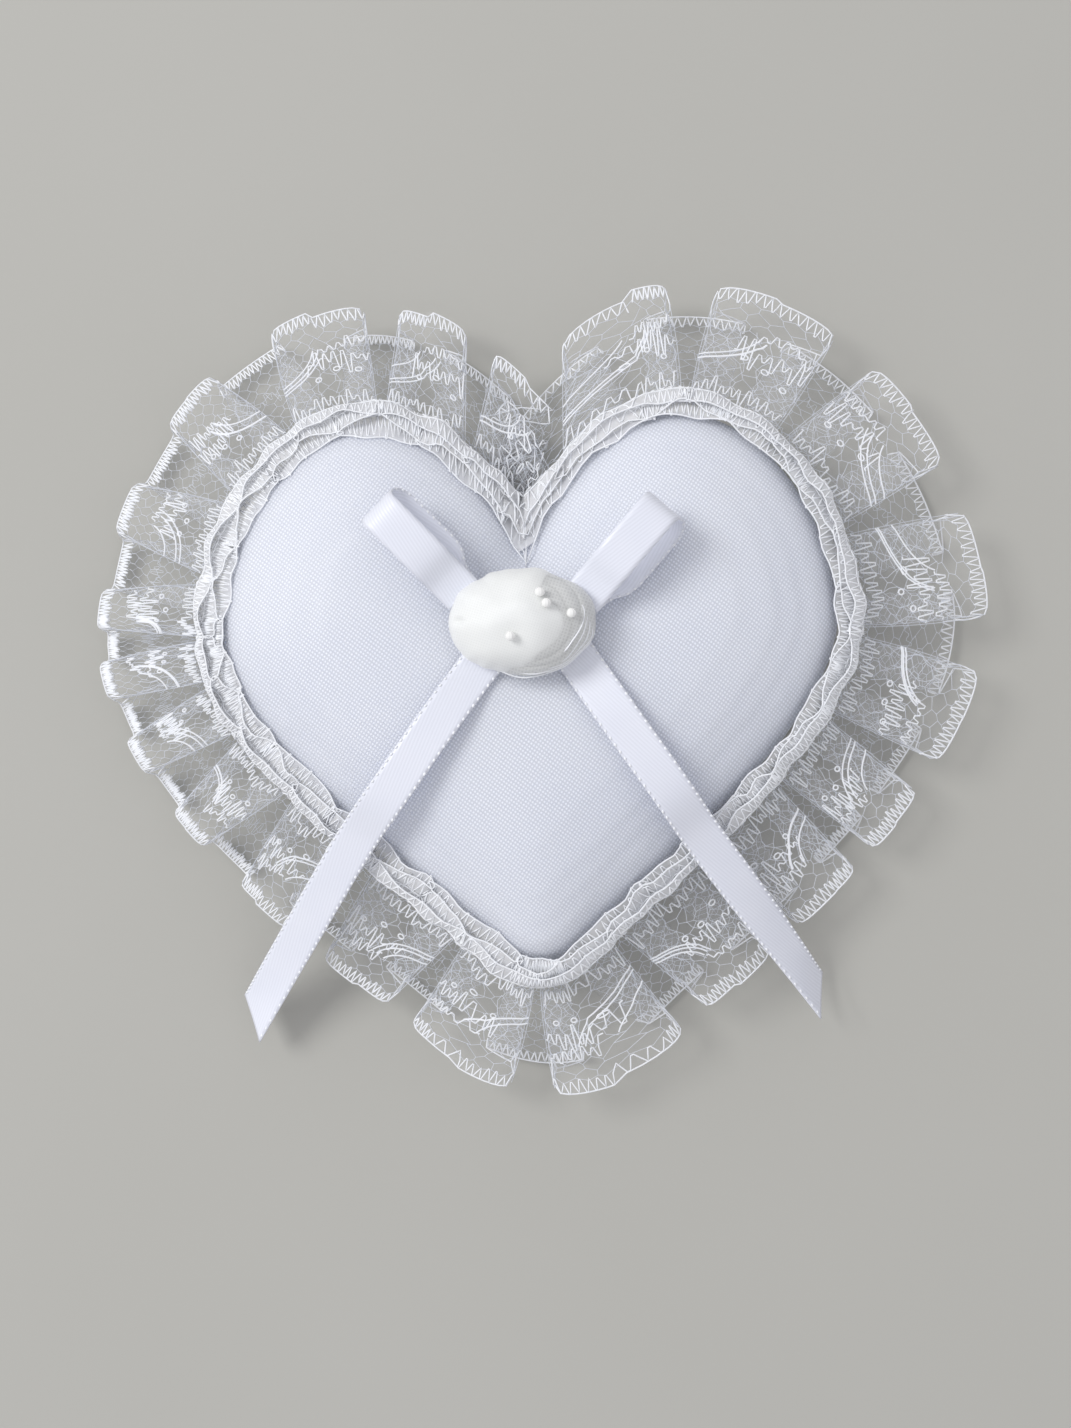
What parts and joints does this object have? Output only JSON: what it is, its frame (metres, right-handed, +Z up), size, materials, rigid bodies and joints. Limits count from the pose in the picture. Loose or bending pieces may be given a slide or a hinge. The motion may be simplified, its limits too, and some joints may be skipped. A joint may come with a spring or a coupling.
{
  "type": "ring bearer pillow",
  "caption": "Heart-shaped satin cushion edged with a box-pleated lace frill, with a narrow ribbon bow, long tails and a padded sheer rosette with pearl beads at its centre.",
  "frame": {"origin": "the heart's centre, at its widest level, on the flat of the back where the pillow rests", "axes": "+X to the right across the heart, +Y towards the notch between the lobes, +Z up through the bow"},
  "size_m": [0.1462, 0.1339, 0.0368],
  "materials": {
    "satin": "woven polyester satin, soft sheen",
    "lace": "raschel lace, matt",
    "ribbon": "satin ribbon with picot selvages, soft sheen",
    "sheer": "sheer organza over padding, matt",
    "pearl": "pearlised bead",
    "thread": "spun polyester sewing thread",
    "filling": "polyester fibre filling"
  },
  "bodies": {
    "pillow": {"top_cover": "satin", "back_cover": "satin", "fibre_filling": "filling", "seam_thread": "thread", "lace_frill": "lace", "lace_heading": "lace", "gathering_thread": "thread", "bow_crossing": "ribbon", "binding_thread": "thread", "tack_thread": "thread", "rosette_pad": "filling", "rosette_cover": "sheer", "rosette_overlay": "sheer", "pearl_1": "pearl", "pearl_2": "pearl", "pearl_3": "pearl", "pearl_4": "pearl"},
    "bow_loop_left": {"bow_loop_left": "ribbon"},
    "bow_loop_right": {"bow_loop_right": "ribbon"},
    "ribbon_tail_left": {"ribbon_tail_left": "ribbon"},
    "ribbon_tail_right": {"ribbon_tail_right": "ribbon"}
  },
  "joints": [
    {"name": "loop_left_lift", "type": "hinge", "parent": "pillow", "child": "bow_loop_left", "pos_m": [-0.01167, 0.00673, 0.02628], "axis": [0.7314, 0.682, 0], "range_deg": [0, 45]},
    {"name": "loop_right_lift", "type": "hinge", "parent": "pillow", "child": "bow_loop_right", "pos_m": [0.01045, 0.00541, 0.02628], "axis": [0.7314, -0.682, 0], "range_deg": [0, 45]},
    {"name": "tail_left_lift", "type": "hinge", "parent": "pillow", "child": "ribbon_tail_left", "pos_m": [-0.00892, -0.00816, 0.02628], "axis": [-0.8329, 0.5534, 0], "range_deg": [0, 75]},
    {"name": "tail_right_lift", "type": "hinge", "parent": "pillow", "child": "ribbon_tail_right", "pos_m": [0.00844, -0.00692, 0.02628], "axis": [-0.8141, -0.5807, 0], "range_deg": [0, 75]}
  ]
}
